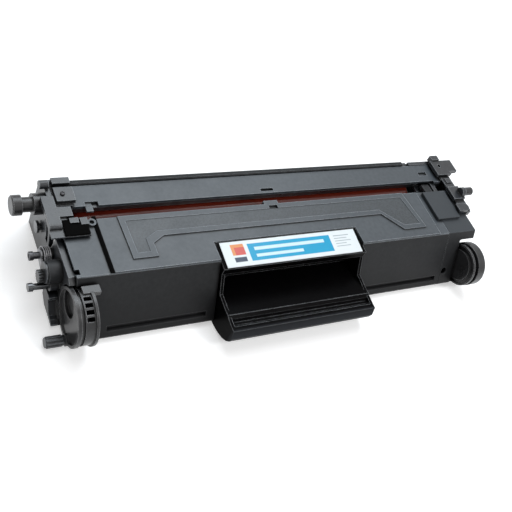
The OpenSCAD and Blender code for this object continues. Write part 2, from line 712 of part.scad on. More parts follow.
module agitator_film() {
  x0 = ch_l + wall + 6;
  inner = grip_x + 6;
  color("#9fb4bd") for (span = [[x0, -inner], [inner, -x0]])
    block(span[0], span[1], gy - 13, gy - 9.2, gz + 1, gz + 1.3);
}

module agitator_gear() {
  color("#d8d6cf") difference() {
    gear(agitator_teeth, agitator_phase, gy, gz, gear_x0, gear_x1);
    rod(gear_x0 - 1, gear_x1 + 1, gy, gz, agi_shaft_r + seat_fit);
    difference() {
      rod(gear_x1 - 2, gear_x1 + 1, gy, gz, 10.5);
      rod(gear_x1 - 3, gear_x1 + 2, gy, gz, 5);
    }
  }
}

// Front edge of the waste unit's roof, from the bar down to the slot
roof_front = [[bar_y0, bar_z], [bar_y0 + 1.5, dz + 15], [bar_y0 + 3.2, dz + 15]];
// Rear of the waste unit, from the tray up to the bar
waste_rear = [[tray_y, dz - 7.5], [tray_y + 2.8, dz - 10.5], [tray_y + 8.8, dz - 11],
  [tray_back, dz - 7.5], [tray_back, dz + 0.5], [tray_back - 2, dz + 4.5],
  [tray_y + 2.8, panel_z - 5], [tray_y + 0.3, bar_z]];

module waste_housing() {
  rib_step = 17.5;
  color("#202225") difference() {
    union() {
      along_x(ch_l, ch_r) difference() {
        polygon(concat(roof_front, [[bar_y0 + 2, roof_z], [tray_y, roof_z]], waste_rear));
        polygon([[bar_y0 + 5.5, roof_z], [tray_y - 0.3, roof_z], [tray_y + 1.3, panel_z - 6],
          [wiper_y - 1.6, dz + 13.7], [wiper_y - 1.6, dz + 5.5], [wiper_y, dz + 5.5],
          [wiper_y, dz + 11.2], [tray_back - 3.7, dz + 3.8], [tray_back - 1.8, dz],
          [tray_back - 1.8, dz - 6.7], [tray_y + 8.2, dz - 9.1], [tray_y + 3.4, dz - 8.6],
          [tray_y + 1.8, dz - 6.5], [tray_y + 1.8, dz - 2.5], [tray_y - 2.2, dz - 2],
          [tray_y - 2.2, dz + 9.5]]);
      }
      for (x = [ch_l, ch_r - wall]) along_x(x, x + wall)
        polygon(concat(roof_front, [[dy + 2, dz + 15.5], [dy + 8, dz + 6.5]], waste_rear));
      // ribs down the rear
      for (x = [ch_l + 8 : rib_step : ch_r - 8]) along_x(x, x + 1.4)
        polygon([[tray_back - 0.5, dz - 7.3], [tray_back + 1.3, dz - 5.5],
          [tray_back + 1.3, dz - 1.3], [tray_back - 0.5, dz + 0.4]]);
    }
    rod(ch_l - 1, ch_l + wall + 1, dy, dz, journal_hole_r);
    rod(ch_r - wall - 1, ch_r + 1, dy, dz, journal_hole_r);
  }
}

module waste_lid() {
  x1 = ch_r + 19;
  notch_x = ch_l + 7;
  color("#3a4048") difference() {
    union() {
      block(ch_l, x1, bar_y0, bar_y1, bar_z, panel_z);
      // tabs at the bar's front edge
      block(notch_x, notch_x + 3.8, bar_y0 - 3.3, bar_y0 + 1, bar_z, panel_z - 0.6);
      block(x1 - 5.5, x1, bar_y0 - 1.5, bar_y0 + 1, bar_z, panel_z);
    }
    block(notch_x, notch_x + 7.5, bar_y0 - 0.3, bar_y0 + 2.8, panel_z - 0.9, panel_z + 1);
    block(notch_x + 3.8, notch_x + 7.5, bar_y0 - 1, bar_y0 + 2.8, bar_z - 1, panel_z + 1);
    block(ch_r + 3.8, x1 - 8, bar_y0 + 5, bar_y0 + 8, panel_z - 1.2, panel_z + 1);
    block(-4, 5, bar_y0 + 1.5, bar_y0 + 3.5, bar_z - 1, panel_z + 1);
  }
}

module rear_rail() {
  y0 = bar_y1 + part_gap;
  top = panel_z + 1.2;
  color("#202225") difference() {
    along_x(ch_l, ch_r - 6) polygon([[y0, bar_z], [y0, top - 0.7], [y0 + 0.7, top],
      [y0 + 2.7, top], [y0 + 3.4, top - 0.7], [y0 + 3.4, bar_z]]);
    block(ch_r - 18, ch_r - 12, y0 - 1, y0 + 5, bar_z + 0.6, top - 0.9);
  }
}

module wiper_bracket() {
  x = sleeve_len / 2;
  color("#b8bcc0") along_x(-x, x) polygon([[wiper_y, dz + 1.3], [wiper_y + 1.4, dz + 1.3],
    [wiper_y + 1.4, dz + 8.5], [wiper_y, dz + 8.5]]);
}

module wiper_rubber() {
  x = sleeve_len / 2 - 1;
  tip_y = dy + drum_r + 0.2;
  color("#5a4636") along_x(-x, x) polygon([[wiper_y, dz + 5], [wiper_y, dz + 2.7],
    [tip_y + 0.2, dz + 0.1], [tip_y, dz + 1.9]]);
}

module charge_saddles() {
  x = charge_len / 2 + 1;
  color("#c9c5ba") for (x0 = [-x - 4, x]) difference() {
    along_x(x0, x0 + 4) polygon([[cy - 3.4, cz - 2.6], [cy + 3.4, cz - 2.6],
      [cy + 3.4, cz + 1.6], [cy + 2, roof_z], [cy - 3.4, roof_z]]);
    rod(x0 - 1, x0 + 5, cy, cz, charge_shaft_r + run_fit);
  }
}

module left_bracket() {
  tab_x = plate_l1 + 1.4;
  strip_x = plate_l0 - 4;
  clip_x = ch_l + 4.2;
  clip_y = rear_y - 11.3;
  disc_z = dz + 2;
  color("#202225") difference() {
    union() {
      rod(plate_l0, plate_l1, dy, disc_z, 16);
      along_x(plate_l0, plate_l1) polygon([[hinge_y - 4, hinge_z - 5], [hinge_y - 4, deck_z + 1],
        [bar_y1 + 3, deck_z + 1], [foot_y, bar_z], [foot_y, 0], [dy - 6, 0], [dy - 10, 6]]);
      block(plate_l1 - 0.01, ch_l - 0.2, bar_y0, bar_y1 + 1, hinge_z + 0.5, deck_z);
      block(plate_l1 - 0.01, ch_l - 0.2, tray_y + 0.1, foot_y, 0, bar_z);
      // plates and blocks on top
      block(tab_x, ch_l + 1.5, bar_y0 + 1.5, bar_y1 - 3.4, deck_z - 0.01, pad_z);
      block(tab_x, ch_l + 1, bar_y1 - 1.5, bar_y1 + 2.5, deck_z - 0.01, pad_z + 1);
      block(tab_x, ch_l - 0.2, bar_y1 - 1.5, bar_y1 + 2.5, bar_z, deck_z);
      block(tab_x - 2, tab_x + 6, rear_y + 0.4, hinge_y + 2, deck_z - 0.4, pad_z);
      rod(strip_x + 1, tab_x - 2, bar_y1 - 1, pad_z, 2.4);
      // strip with a rounded front end
      along_x(strip_x, plate_l1) polygon(concat([[dy, pad_z]],
        arc(rear_y - 4.2, pad_z - 2.2, 2.2, 90, 180, 4),
        [[rear_y - 6.4, deck_z - 1.6], [rear_y - 4, deck_z - 1.6], [rear_y - 4, deck_z - 0.4],
         [dy, deck_z - 0.4]]));
      // catch over the rear of the top panel
      block(strip_x, clip_x, clip_y, rear_y + 0.5, deck_z - 1.1, deck_z);
      block(tab_x - 1.2, tab_x + 2.4, rear_y - 2.5, rear_y + 1.5, deck_z - 0.1, deck_z + 1.3);
      block(tab_x + 3.4, tab_x + 8.2, rear_y - 3.8, rear_y - 0.5, deck_z - 0.1, deck_z + 1.9);
      block(clip_x - 4, clip_x, rear_y - 5, rear_y - 0.5, deck_z - 0.1, deck_z + 1.5);
    }
    block(tab_x + 1.7, tab_x + 5.5, clip_y + 1.6, rear_y - 4.8, bar_z, pad_z);
    rod(plate_l0 - 1, plate_l1 + 1, dy, dz, drum_pin_r + seat_fit);
    rod(plate_l0 - 1, plate_l1 + 1, hinge_y, hinge_z, hinge_r + run_fit);
    // curved window in the end disc
    along_x(plate_l0 - 1, plate_l1 + 1) polygon(concat(arc(dy, disc_z, 13.6, 112, 178, 8),
      arc(dy, disc_z, 10.4, 178, 112, 8)));
    block(strip_x, ch_l, 0, foot_y + 10, -30, 0);
  }
}

module right_bracket() {
  bar_end = ch_r + 19.2;
  ear_l = ch_r + part_gap + 2.7;
  ear_r = ch_r + part_gap + 9.3;
  cover_z = dz + 14;
  arm_y = shelf_back + 2;
  color("#202225") difference() {
    union() {
      rod(plate_r0, plate_r1, dy, dz + 0.5, 15.5);
      along_x(plate_r0, plate_r1) polygon([[hinge_y - 4, hinge_z - 5],
        [hinge_y - 4, bar_z - 0.2], [bar_y1 + 0.2, bar_z - 0.2], [bar_y1 + 0.2, panel_z + 0.4],
        [bar_y1 + 3, panel_z + 0.4], [foot_y, bar_z - 4], [foot_y, 0], [dy - 6, 0],
        [dy - 10, 6]]);
      block(ch_r + 0.2, plate_r0 + 0.01, tray_y + 0.1, foot_y, 0, bar_z - 4);
      block(bar_end, arm_x1, bar_y0 - 1.5, bar_y1 + 3, hinge_z, deck_z);
      block(plate_r0, bar_end + 0.1, bar_y0 - 1.5, bar_y1 + 1, hinge_z - 1, bar_z - 0.2);
      block(ch_r + 0.2, bar_end + 0.1, bar_y1 + 0.2, bar_y1 + 3, hinge_z, panel_z + 0.4);
      // cover over the gear end of the drum, clear of the hinge ear
      block(ch_r + 0.2, ear_l, hinge_y - 4, bar_y0 + 1.5, cover_z, cover_z + 1.6);
      block(ear_r, plate_r0 + 0.01, hinge_y - 4, bar_y0 + 1.5, cover_z, cover_z + 1.6);
      block(ch_r + 0.2, plate_r0 + 0.01, hinge_y + 3.8, bar_y0 + 1.5, cover_z, cover_z + 1.6);
      // arm beside the hopper, with its flange and pads
      along_x(arm_x0, arm_x1) polygon([[arm_y, deck_z - 4], [arm_y, deck_z], [dy, deck_z],
        [dy, hinge_z - 5], [arm_y + 16, hinge_z - 5], [arm_y + 3, deck_z - 8]]);
      block(arm_x0 - 5, arm_x1, arm_y + 1, bar_y0 + 1, deck_z - 0.4, deck_z + 0.5);
      block(arm_x0 - 6.8, arm_x1, rear_y - 11.3, rear_y - 0.3, deck_z, pad_z);
      block(arm_x0 - 8.4, arm_x1 - 4.8, arm_y - 0.2, arm_y + 6.2, deck_z, pad_z - 0.3);
      translate([arm_x1 - 4.8, arm_y + 3, deck_z]) cylinder(h = 2.2, r = 3.2);
      block(arm_x0 - 3.3, arm_x0 + 1.7, hinge_y - 0.5, hinge_y + 3.5, deck_z, deck_z + 1.3);
      block(arm_x0, arm_x1, right_guide_y - 3.2, right_guide_y + 3.2, deck_z, right_guide_z);
      rod(arm_x0, arm_x1, right_guide_y, right_guide_z, 3.2);
      // plate and block behind
      difference() {
        block(ch_r + 17, arm_x1 + 8.2, bar_y0 + 1.5, bar_y1, deck_z - 0.01, pad_z);
        block(arm_x1 + 1.5, arm_x1 + 9, bar_y0, bar_y0 + 4, bar_z, pad_z + 1);
      }
      block(bar_end - 0.5, bar_end + 6, bar_y1 - 0.1, bar_y1 + 4, deck_z - 0.6, pad_z + 1);
    }
    rod(plate_r0 - 1, plate_r1 + 1, dy, dz, journal_r + run_fit);
    rod(plate_r0 - 1, plate_r1 + 1, hinge_y, hinge_z, hinge_r + run_fit);
    translate([ch_r + 22.5, bar_y1 - 5, deck_z - 1]) cylinder(h = 5, r = 1.2);
  }
}

module left_guide_pin() {
  collar_r = guide_r + 0.3;
  neck = guide_r - 1.5;
  color("#3c3e42") translate([plate_l0, guide_y, guide_z]) rotate([0, -90, 0]) {
    cylinder(h = 6.8, r = collar_r);
    translate([0, 0, 6.7]) cylinder(h = guide_len - 11.9, r = neck);
    translate([0, 0, guide_len - 5.2]) cylinder(h = 4.6, r = guide_r);
    translate([0, 0, guide_len - 0.61]) cylinder(h = 0.61, r1 = guide_r, r2 = guide_r - 0.6);
  }
}

module right_guide_pin() {
  color("#3c3e42")
    rod(arm_x1, arm_x1 + right_guide_len, right_guide_y, right_guide_z, right_guide_r);
}

module drum_pin() {
  color("silver") {
    rod(plate_l0 - 1, drum_x0 + 9, dy, dz, drum_pin_r);
    rod(plate_l0 - 2.5, plate_l0 - 1, dy, dz, drum_pin_r + 1.5);
  }
}

module bracket_screws() {
  screw_y = dy + 9;
  screw_r = 2.6;
  head = 1.4;
  color("silver") {
    rod(plate_l0 - head, plate_l0, screw_y, dz + 10.5, screw_r);
    rod(plate_r1, plate_r1 + head, screw_y, dz + 12.5, screw_r);
  }
}

module drum_tube() {
  color("#5b1a16") difference() {
    rod(drum_x0, drum_x1, dy, dz, drum_r);
    rod(drum_x0 - 1, drum_x1 + 1, dy, dz, drum_r - drum_wall);
  }
}

module drum_gear_flange() {
  coupling_x = plate_r1 + 0.8;
  color("#d8d6cf") {
    rod(drum_x1 - 8, drum_x1, dy, dz, drum_r - drum_wall - seat_fit);
    rod(drum_x1, drum_x1 + 0.8, dy, dz, drum_r - 0.3);
    rod(drum_x1 + 0.8, gear_x0, dy, dz, journal_r + 0.5);
    gear(drum_teeth, 0, dy, dz, gear_x0, gear_x1);
    rod(gear_x1, coupling_x, dy, dz, journal_r);
    // three-cornered drive coupling
    along_x(coupling_x, coupling_x + 5.7) translate([dy, dz])
      polygon([for (i = [0 : 5]) let (r = journal_r * (i % 2 == 0 ? 0.9 : 0.5))
        [r * cos(i * 60), r * sin(i * 60)]]);
  }
}

module drum_hub() {
  color("#d8d6cf") difference() {
    union() {
      rod(drum_x0, drum_x0 + 8, dy, dz, drum_r - drum_wall - seat_fit);
      rod(drum_x0 - 0.8, drum_x0, dy, dz, drum_r - 0.3);
    }
    rod(drum_x0 - 2, drum_x0 + 9, dy, dz, drum_pin_r + run_fit);
  }
}

module charge_shaft() {
  x = charge_len / 2 + 5;
  color("silver") rod(-x, x, cy, cz, charge_shaft_r);
}

module charge_rubber() {
  x = charge_len / 2;
  color("#1c1c1e") difference() {
    rod(-x, x, cy, cz, charge_r);
    rod(-x - 1, x + 1, cy, cz, charge_shaft_r + seat_fit);
  }
}

hopper_shell();
hopper_lid();
handle_scoop();
handle_label();
left_end_cover();
right_end_cover();
left_round_cap();
right_round_cap();
fill_plug();
agitator_pin();
magnet_core();
blade_bracket();
doctor_blade();
contact_lever();
lever_screw();
locating_pin();
hinge_pins();
developer_sleeve();
developer_gear();
gap_rings();
agitator_frame();
agitator_film();
agitator_gear();
waste_housing();
waste_lid();
rear_rail();
wiper_bracket();
wiper_rubber();
charge_saddles();
left_bracket();
right_bracket();
left_guide_pin();
right_guide_pin();
drum_pin();
bracket_screws();
drum_tube();
drum_gear_flange();
drum_hub();
charge_shaft();
charge_rubber();
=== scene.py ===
# %% [markdown]
# # Toner cartridge
# The frame holds the cartridge as it was constructed: every housing, roller, gear and pin at
# its real size, in metres. This lesson adds what the construction leaves out: the finish of
# each surface, the label's print, and the small parts that give the ends their look.

# %% Load the frame
import math

import bpy
from mathutils import Matrix, Vector
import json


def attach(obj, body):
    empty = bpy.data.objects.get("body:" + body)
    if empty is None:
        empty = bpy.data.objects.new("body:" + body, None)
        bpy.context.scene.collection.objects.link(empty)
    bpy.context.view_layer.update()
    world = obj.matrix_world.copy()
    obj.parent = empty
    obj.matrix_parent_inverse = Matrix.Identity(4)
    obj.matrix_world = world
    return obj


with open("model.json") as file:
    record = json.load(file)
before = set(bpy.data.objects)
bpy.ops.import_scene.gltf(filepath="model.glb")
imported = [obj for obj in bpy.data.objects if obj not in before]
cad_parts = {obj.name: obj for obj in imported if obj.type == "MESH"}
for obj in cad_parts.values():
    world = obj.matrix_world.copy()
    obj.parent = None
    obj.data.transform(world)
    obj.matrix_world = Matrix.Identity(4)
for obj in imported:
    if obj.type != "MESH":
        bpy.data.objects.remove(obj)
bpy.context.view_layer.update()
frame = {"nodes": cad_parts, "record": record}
nodes = frame["nodes"]
MM = 0.001

# %% [markdown]
# ## Camera
# The photograph looks down on the cartridge from its front left corner with the camera rolled,
# so that the long body runs almost level across the picture. The camera's place and its two
# picture axes were fitted to the straight edges of the top panel. They are set directly as a
# rotation matrix: its columns are the camera's right, up and backward directions.

# %% Place the camera
CAMERA_PLACE = Vector((-258.7, -214.2, 366.9)) * MM
LOOK = Vector((0.5065, 0.4693, -0.7233)).normalized()
UP = Vector((0.1026, 0.8001, 0.5909))
FOCAL_PX = 799
PICTURE_PX = 512
SENSOR = 36.0

right = LOOK.cross(UP).normalized()
up = right.cross(LOOK).normalized()
camera_data = bpy.data.cameras.new("camera")
camera_data.sensor_width = SENSOR
camera_data.lens = SENSOR * FOCAL_PX / PICTURE_PX
camera_data.clip_start = 0.01
camera = bpy.data.objects.new("camera", camera_data)
bpy.context.scene.collection.objects.link(camera)
turn = Matrix((right, up, -LOOK)).transposed().to_4x4()
camera.matrix_world = Matrix.Translation(CAMERA_PLACE) @ turn
bpy.context.scene.camera = camera
print("lens", round(camera_data.lens, 1), "mm")

# %% [markdown]
# ## Light and floor
# Black plastic shows mostly what it mirrors. One large soft lamp stands behind the cartridge,
# where the left half of the top panel mirrors it towards the camera. It gives the top faces
# their pale sheen, stronger on the left, and leaves the faces towards the camera dark. A weak
# lamp at the front left keeps the round parts of that end readable, and a small one at the
# front right draws a bright line along every rounded front edge.

# %% Light the set
scene = bpy.context.scene
scene.view_settings.view_transform = "Standard"


def soft_lamp(name, place, aim, size, watts, tint=(1, 1, 1)):
    lamp = bpy.data.lights.new(name, "AREA")
    lamp.shape = "RECTANGLE"
    lamp.size, lamp.size_y = size
    lamp.energy = watts
    lamp.color = tint
    obj = bpy.data.objects.new(name, lamp)
    scene.collection.objects.link(obj)
    obj.location = Vector(place)
    obj.rotation_euler = (Vector(aim) - Vector(place)).to_track_quat("-Z", "Y").to_euler()
    print(name, "at", [round(c, 2) for c in place])


soft_lamp("sheen lamp", (0.24, 0.58, 0.92), (-0.04, 0.0, 0.03), (0.75, 0.6), 5.6, (0.86, 0.94, 1.0))
soft_lamp("top lamp", (0.10, 0.25, 1.25), (0.0, 0.0, 0.0), (0.9, 0.7), 4.0, (0.96, 0.98, 1.0))
soft_lamp("end lamp", (-0.9, -0.7, 0.75), (-0.1, 0.0, 0.02), (0.5, 0.5), 1.8)
soft_lamp("edge lamp", (0.50, -0.52, 0.85), (0.05, 0.0, 0.03), (0.28, 0.28), 3.2)

# %% [markdown]
# The room itself is plain white to the camera and to mirrored rays, and dimmer to the light
# that falls on the object, so the lamps decide how bright the cartridge is.


# %% Fill the room with soft light
def seen_rays(tree):
    rays = tree.nodes.new("ShaderNodeLightPath")
    first = tree.nodes.new("ShaderNodeMath")
    first.operation = "MAXIMUM"
    tree.links.new(rays.outputs["Is Camera Ray"], first.inputs[0])
    tree.links.new(rays.outputs["Is Glossy Ray"], first.inputs[1])
    second = tree.nodes.new("ShaderNodeMath")
    second.operation = "MAXIMUM"
    tree.links.new(first.outputs[0], second.inputs[0])
    tree.links.new(rays.outputs["Is Transmission Ray"], second.inputs[1])
    return second.outputs[0]


world = bpy.data.worlds.new("room")
scene.world = world
world.use_nodes = True
tree = world.node_tree
tree.nodes.clear()
strength = tree.nodes.new("ShaderNodeMapRange")
strength.inputs["To Min"].default_value = 0.26
strength.inputs["To Max"].default_value = 1.0
tree.links.new(seen_rays(tree), strength.inputs["Value"])
sky = tree.nodes.new("ShaderNodeBackground")
sky.inputs["Color"].default_value = (1, 1, 1, 1)
tree.links.new(strength.outputs["Result"], sky.inputs["Strength"])
out = tree.nodes.new("ShaderNodeOutputWorld")
tree.links.new(sky.outputs["Background"], out.inputs["Surface"])

# %% [markdown]
# The floor is one wide pale sheet just under the cartridge. To the camera it glows a little
# over its own shade, which makes it the plain white of the photograph and leaves the shadow
# close to the cartridge. To the light it is mid grey, so it doesn't brighten the front face.

# %% Lay the floor
bpy.ops.object.select_all(action="DESELECT")
bpy.ops.mesh.primitive_circle_add(vertices=64, radius=4.0, fill_type="NGON")
floor = bpy.context.object
floor.name = "floor"
floor_look = bpy.data.materials.new("pale floor")
floor_look.use_nodes = True
tree = floor_look.node_tree
floor_shader = tree.nodes["Principled BSDF"]
floor_shader.inputs["Roughness"].default_value = 0.9
floor_shader.inputs["Specular IOR Level"].default_value = 0.05
floor_shader.inputs["Emission Color"].default_value = (1, 1, 1, 1)
seen = seen_rays(tree)
shade = tree.nodes.new("ShaderNodeMix")
shade.data_type = "RGBA"
shade.inputs["A"].default_value = (0.42, 0.42, 0.42, 1)
shade.inputs["B"].default_value = (0.93, 0.93, 0.93, 1)
tree.links.new(seen, shade.inputs["Factor"])
tree.links.new(shade.outputs["Result"], floor_shader.inputs["Base Color"])
glow = tree.nodes.new("ShaderNodeMath")
glow.operation = "MULTIPLY"
glow.inputs[1].default_value = 0.42
tree.links.new(seen, glow.inputs[0])
tree.links.new(glow.outputs[0], floor_shader.inputs["Emission Strength"])
floor.data.materials.append(floor_look)

# %% [markdown]
# ## Moulded plastic
# Every black part here is injection moulded. Up close such plastic is never one flat black:
# its tone drifts slowly over a hand's width, the mould's spark-eroded grain breaks up the
# gloss, and fine dust and handling marks lighten it in patches. Each finish is built from a
# few small blocks of nodes. The first ones are noise maps at a chosen scale and a mix of two
# tones.


# %% Noise and tones
def new_finish(name):
    look = bpy.data.materials.new(name)
    look.use_nodes = True
    return look, look.node_tree, look.node_tree.nodes["Principled BSDF"]


def noise_map(tree, scale, detail, low, high, stretch=(1, 1, 1)):
    place = tree.nodes.new("ShaderNodeTexCoord")
    mapping = tree.nodes.new("ShaderNodeMapping")
    mapping.inputs["Scale"].default_value = stretch
    noise = tree.nodes.new("ShaderNodeTexNoise")
    noise.inputs["Scale"].default_value = scale
    noise.inputs["Detail"].default_value = detail
    spread = tree.nodes.new("ShaderNodeMapRange")
    spread.inputs["From Min"].default_value = 0.3
    spread.inputs["From Max"].default_value = 0.7
    spread.inputs["To Min"].default_value = low
    spread.inputs["To Max"].default_value = high
    tree.links.new(place.outputs["Object"], mapping.inputs["Vector"])
    tree.links.new(mapping.outputs["Vector"], noise.inputs["Vector"])
    tree.links.new(noise.outputs["Fac"], spread.inputs["Value"])
    return spread.outputs["Result"], noise.outputs["Fac"]


def mix_tones(tree, factor, first, second):
    mix = tree.nodes.new("ShaderNodeMix")
    mix.data_type = "RGBA"
    for socket, tone in (("A", first), ("B", second)):
        if isinstance(tone, tuple):
            mix.inputs[socket].default_value = (*tone, 1)
        else:
            tree.links.new(tone, mix.inputs[socket])
    tree.links.new(factor, mix.inputs["Factor"])
    return mix.outputs["Result"]


def relief(tree, height, normal, strength, distance):
    bump = tree.nodes.new("ShaderNodeBump")
    bump.inputs["Strength"].default_value = strength
    bump.inputs["Distance"].default_value = distance
    tree.links.new(height, bump.inputs["Height"])
    if normal is not None:
        tree.links.new(normal, bump.inputs["Normal"])
    return bump.outputs["Normal"]


# %% [markdown]
# The edges of a moulding are a little round and catch the light. A Bevel node shades the small
# radius. Where its normal leaves the face's own normal there is an edge, and an Ambient Occlusion
# node tells an open edge from an inner corner. Open edges are painted lighter, partly wear and partly
# a painted highlight; inner corners are painted darker, as painted shade.


# %% Edges and corners
def math_node(tree, operation, first, second):
    node = tree.nodes.new("ShaderNodeMath")
    node.operation = operation
    for index, value in enumerate((first, second)):
        if isinstance(value, (int, float)):
            node.inputs[index].default_value = value
        else:
            tree.links.new(value, node.inputs[index])
    return node.outputs[0]


def rounded_edges(tree, radius):
    bevel = tree.nodes.new("ShaderNodeBevel")
    bevel.samples = 4
    bevel.inputs["Radius"].default_value = radius
    return bevel.outputs["Normal"]


def openness(tree, reach):
    hollow = tree.nodes.new("ShaderNodeAmbientOcclusion")
    hollow.samples = 6
    hollow.inputs["Distance"].default_value = reach
    spread = tree.nodes.new("ShaderNodeMapRange")
    spread.inputs["From Min"].default_value = 0.68
    spread.inputs["From Max"].default_value = 0.96
    tree.links.new(hollow.outputs["AO"], spread.inputs["Value"])
    return spread.outputs["Result"]


# Edge mask: open edges get a lighter tone, partly wear and partly a painted highlight.
def lit_and_worn_edge(tree, soft, is_open):
    own = tree.nodes.new("ShaderNodeNewGeometry")
    dot = tree.nodes.new("ShaderNodeVectorMath")
    dot.operation = "DOT_PRODUCT"
    tree.links.new(own.outputs["Normal"], dot.inputs[0])
    tree.links.new(soft, dot.inputs[1])
    lean = tree.nodes.new("ShaderNodeMapRange")
    lean.inputs["From Min"].default_value = 0.995
    lean.inputs["From Max"].default_value = 0.93
    tree.links.new(dot.outputs["Value"], lean.inputs["Value"])
    patchy, _ = noise_map(tree, 220, 3, 0.55, 1.0)
    return math_node(tree, "MULTIPLY", math_node(tree, "MULTIPLY", lean.outputs["Result"], patchy),
                     is_open)


# %% [markdown]
# With these blocks one function makes every moulded finish. It takes the two tones, the range of
# roughness, how strongly the surface mirrors, the tone of the dust specks and of the lighter edges
# (partly wear, partly a painted highlight), and how dark the painted shade in inner corners is.


# %% The plastic finish
def moulded_plastic(name, dark, light, rough, mirror=0.5, rim=(0.10, 0.105, 0.11), dust=0.08,
                    depth=0.12, edge=0.7, corner=0.15):
    look, tree, shader = new_finish(name)
    drift, _ = noise_map(tree, 14, 3, 0, 1)
    tone = mix_tones(tree, drift, dark, light)
    specks, _ = noise_map(tree, 420, 5, 0, dust)
    tone = mix_tones(tree, specks, tone, rim)
    is_open = openness(tree, 2.6 * MM)
    soft = rounded_edges(tree, edge * MM)
    # Painted highlight, partly wear: open edges take the lighter tone.
    tone = mix_tones(tree, lit_and_worn_edge(tree, soft, is_open), tone, rim)
    # Painted shade: inner corners and the feet of walls are darkened by the Ambient Occlusion mask.
    painted_corner_shade = tuple(corner * c for c in dark)
    tone = mix_tones(tree, is_open, painted_corner_shade, tone)
    tree.links.new(tone, shader.inputs["Base Color"])
    gloss, _ = noise_map(tree, 60, 4, rough[0], rough[1])
    tree.links.new(gloss, shader.inputs["Roughness"])
    shader.inputs["Specular IOR Level"].default_value = mirror
    _, pebble = noise_map(tree, 1800, 2, 0, 1)
    tree.links.new(relief(tree, pebble, soft, depth, 0.05 * MM), shader.inputs["Normal"])
    return look, tree, shader, tone


# %% [markdown]
# The housing's face is painted darker towards the foot, as painted shade: a ramp on the object's own
# height deepens the tone there. Above the seam, the flat top of the end cover is painted lighter,
# towards the tone of the panel beside it, as painted light on a top face; only its tone is lifted.


# %% Paint shade and light on the housing by its height
def toe_shade(look, tree, shader, tone):
    place = tree.nodes.new("ShaderNodeTexCoord")
    split = tree.nodes.new("ShaderNodeSeparateXYZ")
    tree.links.new(place.outputs["Object"], split.inputs[0])
    height = tree.nodes.new("ShaderNodeMapRange")
    height.inputs["From Min"].default_value = 5 * MM
    height.inputs["From Max"].default_value = 30 * MM
    height.inputs["To Min"].default_value = 0.92
    height.inputs["To Max"].default_value = 0.0
    tree.links.new(split.outputs["Z"], height.inputs["Value"])
    # Painted shade: the tone darkens towards the foot.
    deep = mix_tones(tree, height.outputs["Result"], tone, (0.004, 0.004, 0.0045))
    # Painted light: faces above 36.6 mm get a lighter top tone.
    top = math_node(tree, "GREATER_THAN", split.outputs["Z"], 36.6 * MM)
    deep = mix_tones(tree, math_node(tree, "MULTIPLY", top, 0.7), deep, (0.052, 0.060, 0.068))
    tree.links.new(deep, shader.inputs["Base Color"])
    return look


# %% [markdown]
# The grip is black plastic, made darker still inside as painted shade. Its front wall is painted a
# lighter grey, a painted highlight along the lip. The object's own Y tells the wall from the inside.


# %% Paint a highlight on the front wall of the grip
def grip_wall_highlight(look, tree, shader, tone):
    place = tree.nodes.new("ShaderNodeTexCoord")
    split = tree.nodes.new("ShaderNodeSeparateXYZ")
    tree.links.new(place.outputs["Object"], split.inputs[0])
    wall = tree.nodes.new("ShaderNodeMapRange")
    wall.inputs["From Min"].default_value = -34.5 * MM
    wall.inputs["From Max"].default_value = -37.2 * MM
    wall.inputs["To Max"].default_value = 0.85
    tree.links.new(split.outputs["Y"], wall.inputs["Value"])
    # Painted highlight: the front wall of the grip is lighter grey.
    wall_highlight = mix_tones(tree, wall.outputs["Result"], tone, (0.045, 0.048, 0.054))
    tree.links.new(wall_highlight, shader.inputs["Base Color"])
    return look


# %% [markdown]
# The top panel carries a raised frame, and the field inside it is textured: it lies 0.3 mm
# below the frame's rim, so its height alone picks it out. There the tone is a little deeper
# and a coarser leather grain, made by Voronoi cells, roughens it.


# %% Grain the field on the panel
def grained_field(look, tree, shader, tone):
    place = tree.nodes.new("ShaderNodeTexCoord")
    split = tree.nodes.new("ShaderNodeSeparateXYZ")
    tree.links.new(place.outputs["Object"], split.inputs[0])
    above = math_node(tree, "GREATER_THAN", split.outputs["Z"], 37.92 * MM)
    below = math_node(tree, "LESS_THAN", split.outputs["Z"], 38.08 * MM)
    inside = math_node(tree, "MULTIPLY", above, below)
    cells = tree.nodes.new("ShaderNodeTexVoronoi")
    cells.inputs["Scale"].default_value = 900
    tree.links.new(place.outputs["Object"], cells.inputs["Vector"])
    deeper = math_node(tree, "MULTIPLY", cells.outputs["Distance"], 1.4)
    leather = mix_tones(tree, deeper, (0.010, 0.014, 0.017), (0.036, 0.044, 0.051))
    tree.links.new(mix_tones(tree, inside, tone, leather), shader.inputs["Base Color"])
    normal = shader.inputs["Normal"].links[0].from_socket
    grain = math_node(tree, "MULTIPLY", cells.outputs["Distance"], inside)
    tree.links.new(relief(tree, grain, normal, 0.5, 0.12 * MM), shader.inputs["Normal"])
    return look


# %% [markdown]
# ## Metals, rubber and the drum's coating
# The steel pins are ground lengthwise, so their grain is noise stretched along the drum's
# axis. Rubber and polyurethane are matt and a little uneven. The drum is the one vivid part:
# a clear red-brown coating on bright aluminium, smooth as glass.


# %% Metal and drum finishes
def ground_metal(name, dark, light, rough):
    look, tree, shader = new_finish(name)
    shader.inputs["Metallic"].default_value = 1.0
    streak, fac = noise_map(tree, 900, 2, 0, 1, (0.05, 1, 1))
    tree.links.new(mix_tones(tree, streak, dark, light), shader.inputs["Base Color"])
    gloss, _ = noise_map(tree, 300, 3, rough[0], rough[1], (0.1, 1, 1))
    tree.links.new(gloss, shader.inputs["Roughness"])
    soft = rounded_edges(tree, 0.25 * MM)
    tree.links.new(relief(tree, fac, soft, 0.1, 0.01 * MM), shader.inputs["Normal"])
    return look


